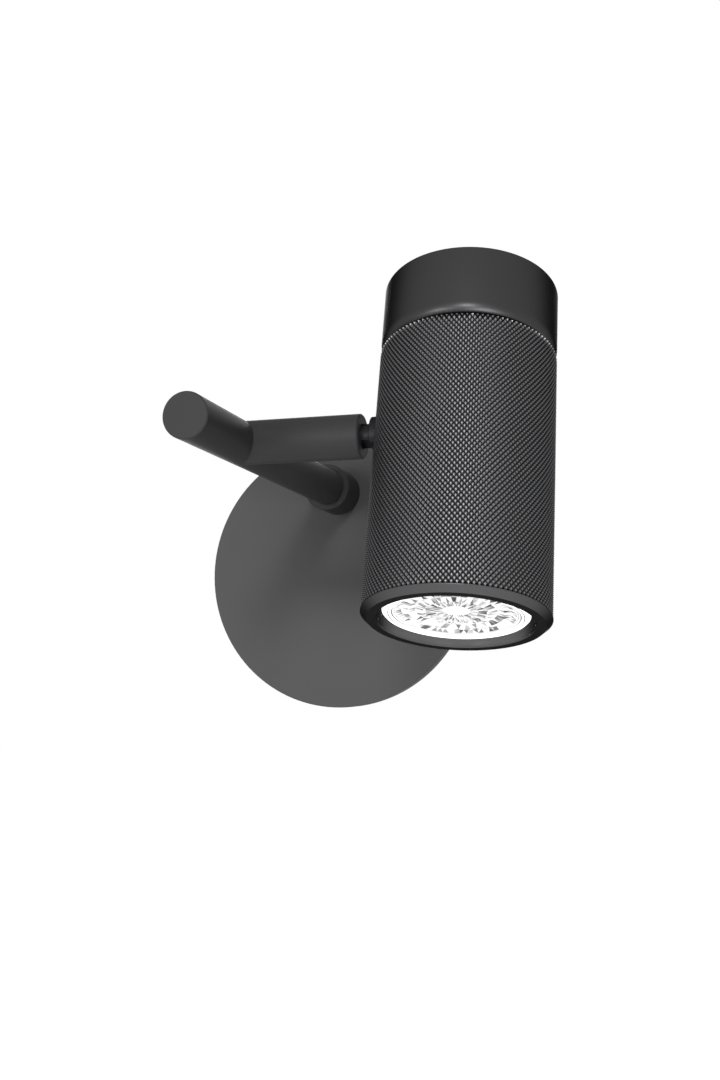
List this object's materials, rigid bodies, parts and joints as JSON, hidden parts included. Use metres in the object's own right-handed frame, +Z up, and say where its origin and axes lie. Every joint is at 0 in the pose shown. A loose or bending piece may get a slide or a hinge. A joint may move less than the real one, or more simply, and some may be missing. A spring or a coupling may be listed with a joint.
{
  "type": "pivoting spotlight wall light",
  "caption": "Wall light with a round plate, a swivelling rod with a side arm, and a knurled tubular spot head that tilts at the arm's end.",
  "frame": {"origin": "centre of the wall plate's back face, which is also the centre of the two wall-screw slots", "axes": "+Y into the wall, so the light stands out along -Y; +Z up; the lamp head hangs to the +X side"},
  "size_m": [0.1805, 0.1851, 0.1639],
  "materials": {
    "plate_coat": "matt black powder coat",
    "arm_coat": "matt black powder coat",
    "stud_black": "blackened turned steel",
    "head_knurl": "black anodised, diamond knurled",
    "cap_turned": "black anodised, finely turned",
    "zinc_steel": "bright zinc plated",
    "black_screw": "black oxide",
    "spring_steel": "bare spring steel",
    "brass": "nickel-free turned brass",
    "tinned": "tinned",
    "terminal_plastic": "moulded white",
    "fibre": "red-brown vulcanised fibre",
    "grommet_rubber": "black moulded",
    "lead_sleeve": "silicone-coated glass sleeving",
    "core_insulation": "silicone insulated",
    "steatite": "white glazed ceramic",
    "lamp_white": "white moulded",
    "lamp_clear": "clear faceted optic",
    "board_white": "white solder mask",
    "emitter": "phosphor layer",
    "nickel": "nickel plated"
  },
  "bodies": {
    "wall_base": {"wall_plate": "plate_coat", "wall_strap": "zinc_steel", "rim_screws": "black_screw", "cable_grommet": "grommet_rubber", "terminal_block": "terminal_plastic", "earth_tag": "tinned", "stud_nuts": "zinc_steel", "plate_cores": "core_insulation", "arm_socket": "arm_coat", "socket_washer": "spring_steel", "socket_ring_nut": "zinc_steel", "socket_stop_screw": "black_screw", "socket_spring": "spring_steel"},
    "arm": {"rod_pivot_plug": "stud_black", "main_rod": "arm_coat", "rod_tip_plug": "arm_coat", "side_arm": "arm_coat", "arm_end_bush": "arm_coat", "swivel_stop_screw": "black_screw", "swivel_friction_washer": "fibre", "swivel_spring": "spring_steel", "swivel_clip": "spring_steel", "arm_lead": "lead_sleeve"},
    "lamp_head": {"swivel_stud": "stud_black", "stud_saddle": "zinc_steel", "stud_nut": "zinc_steel", "head_body": "head_knurl", "head_cap": "cap_turned", "holder_plate": "zinc_steel", "plate_retainer": "spring_steel", "lamp_holder": "steatite", "holder_contacts": "brass", "holder_screws": "zinc_steel", "head_earth_screw": "zinc_steel", "head_earth_tag": "tinned", "head_lead": "lead_sleeve", "head_cores": "core_insulation", "lamp_housing": "lamp_white", "lamp_base": "lamp_white", "lamp_pins": "nickel", "lamp_lens": "lamp_clear", "lamp_board": "board_white", "lamp_emitter": "emitter"}
  },
  "joints": [
    {"name": "arm_swivel", "type": "hinge", "parent": "wall_base", "child": "arm", "pos_m": [0, -0.019, 0.0383], "axis": [0, 1, 0], "range_deg": [-160, 160]},
    {"name": "head_tilt", "type": "hinge", "parent": "arm", "child": "lamp_head", "pos_m": [0.085, -0.1345, 0.0383], "axis": [1, 0, 0], "range_deg": [-138.5, 171.5]}
  ]
}
